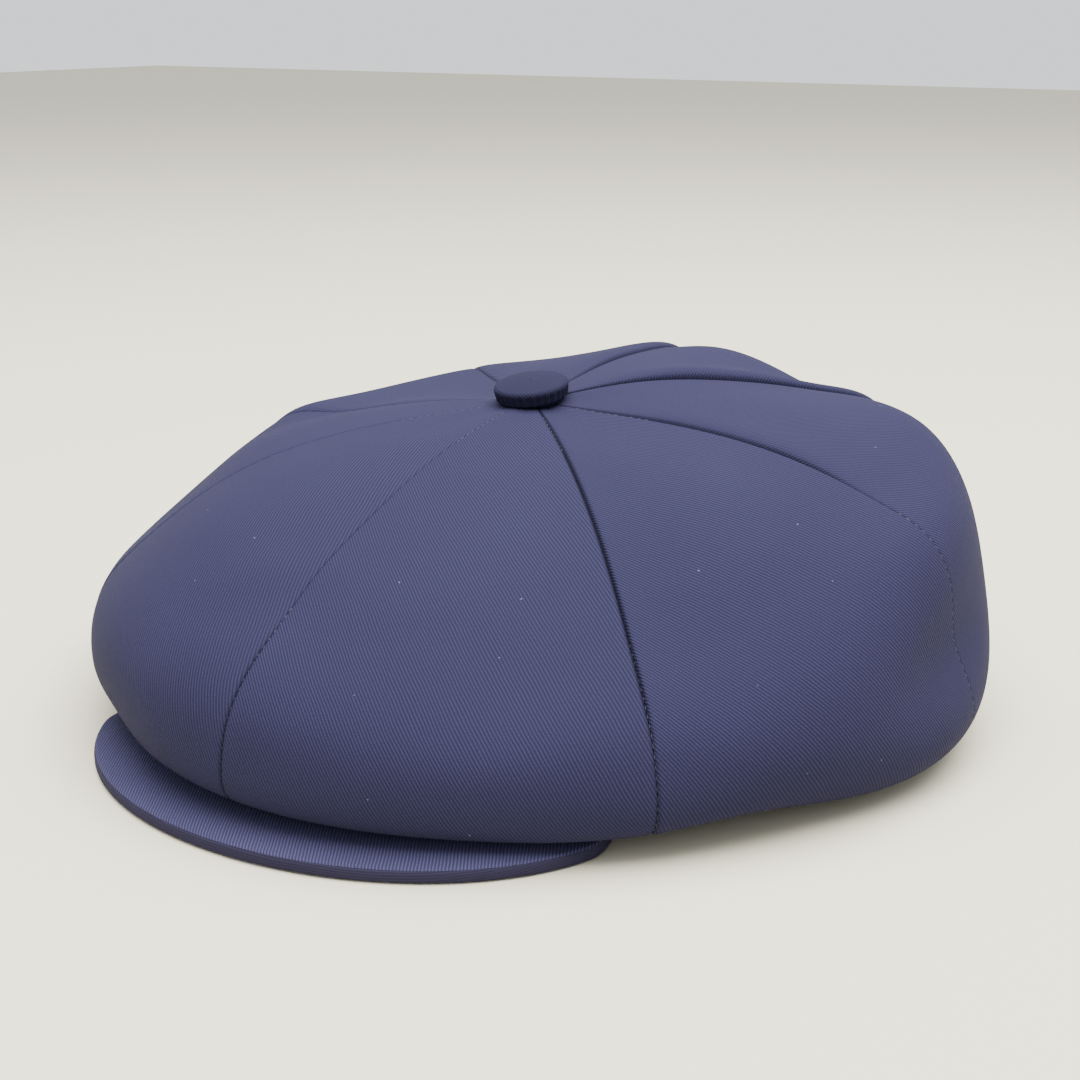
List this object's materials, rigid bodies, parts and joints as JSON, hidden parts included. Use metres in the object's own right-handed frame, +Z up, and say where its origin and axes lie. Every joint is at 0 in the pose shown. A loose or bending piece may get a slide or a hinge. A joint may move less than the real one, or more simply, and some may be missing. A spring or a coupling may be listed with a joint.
{
  "type": "newsboy cap",
  "caption": "Soft gored newsboy cap with a full twill crown, covered button, inner band and a short stiffened brim that folds down.",
  "frame": {"origin": "bottom centre of the cap's bounding box, on the surface it rests on", "axes": "+Z up, the brim points along -Y and the wearer's left is +X"},
  "size_m": [0.294, 0.279, 0.1011],
  "materials": {
    "crown_twill": "matte woven twill",
    "brim_twill": "matte woven twill",
    "button_twill": "matte woven twill",
    "lining_satin": "soft satin",
    "sweatband_twill": "matte cotton",
    "headband_canvas": "matte canvas",
    "brim_board": "matte sheet",
    "button_metal": "plain pressed"
  },
  "bodies": {
    "crown": {"gore_front_to_left": "crown_twill", "gore_left_front": "crown_twill", "gore_left_back": "crown_twill", "gore_back_to_left": "crown_twill", "gore_back_to_right": "crown_twill", "gore_right_back": "crown_twill", "gore_right_front": "crown_twill", "gore_front_to_right": "crown_twill", "lining_front_to_left": "lining_satin", "lining_left_front": "lining_satin", "lining_left_back": "lining_satin", "lining_back_to_left": "lining_satin", "lining_back_to_right": "lining_satin", "lining_right_back": "lining_satin", "lining_right_front": "lining_satin", "lining_front_to_right": "lining_satin", "headband": "headband_canvas", "sweatband": "sweatband_twill", "button_cover": "button_twill", "button_shell": "button_metal", "button_back": "button_metal", "button_washer": "button_metal"},
    "brim": {"brim_cover_top": "brim_twill", "brim_board": "brim_board", "brim_cover_bottom": "brim_twill"}
  },
  "joints": [
    {"name": "brim_fold", "type": "hinge", "parent": "crown", "child": "brim", "pos_m": [-0.0068, -0.0385, 0.002], "axis": [1, 0, 0], "range_deg": [0, 10], "stiffness_Nm_per_rad": 1, "springref_deg": -1.72}
  ]
}
